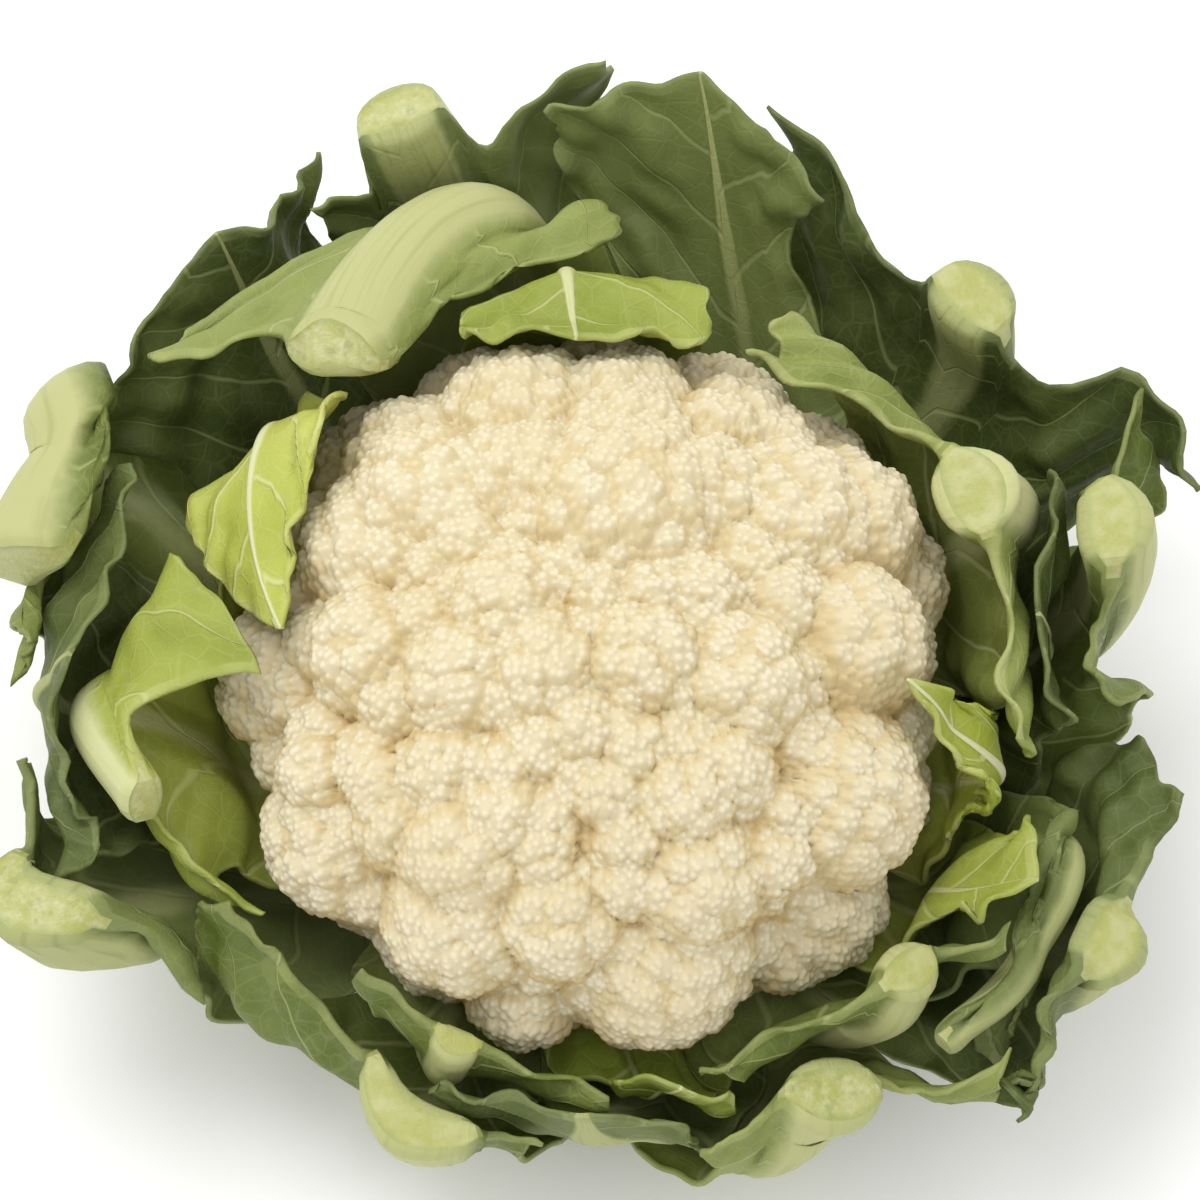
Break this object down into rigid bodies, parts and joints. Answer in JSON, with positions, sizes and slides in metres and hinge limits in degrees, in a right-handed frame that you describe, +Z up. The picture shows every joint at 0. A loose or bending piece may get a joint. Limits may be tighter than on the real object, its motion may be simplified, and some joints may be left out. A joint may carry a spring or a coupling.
{
  "type": "cauliflower",
  "caption": "Whole cauliflower: a domed cream curd of fused florets on its cut stalk, wrapped in trimmed green leaves with thick pale ribs, resting on the flat stalk face.",
  "frame": {"origin": "middle of the stalk's cut face, which the head rests on", "axes": "+Z up along the stalk, -Y towards the side that the low front leaves are on, +X to the right seen from that side"},
  "size_m": [0.2651, 0.2432, 0.1231],
  "materials": {
    "curd": "matte, finely grained",
    "stalk": "satin, fibrous cut face",
    "heart_leaf": "satin, veined",
    "bright_leaf": "satin, veined",
    "light_leaf": "satin, veined",
    "mid_leaf": "waxy satin, veined",
    "dark_leaf": "waxy satin, veined"
  },
  "bodies": {
    "root": {"curd": "curd", "stalk": "stalk", "leaf_heart_right": "heart_leaf", "leaf_heart_left": "heart_leaf", "leaf_heart_back": "bright_leaf", "leaf_inner_right": "light_leaf", "leaf_bud_right": "bright_leaf", "leaf_inner_front_right": "mid_leaf", "leaf_bud_front": "bright_leaf", "leaf_inner_front": "mid_leaf", "leaf_inner_left": "bright_leaf", "leaf_middle_back_left": "mid_leaf", "leaf_middle_back": "dark_leaf", "leaf_middle_right": "dark_leaf", "leaf_middle_right_high": "dark_leaf", "leaf_middle_front": "dark_leaf", "leaf_middle_left": "dark_leaf", "leaf_outer_front_left": "mid_leaf", "leaf_outer_front_right": "mid_leaf", "leaf_outer_right_low": "dark_leaf", "leaf_outer_right": "mid_leaf", "leaf_outer_back_right": "dark_leaf", "leaf_outer_back": "dark_leaf", "leaf_outer_back_left": "dark_leaf", "leaf_outer_left": "mid_leaf", "leaf_outer_left_low": "dark_leaf"}
  },
  "joints": []
}
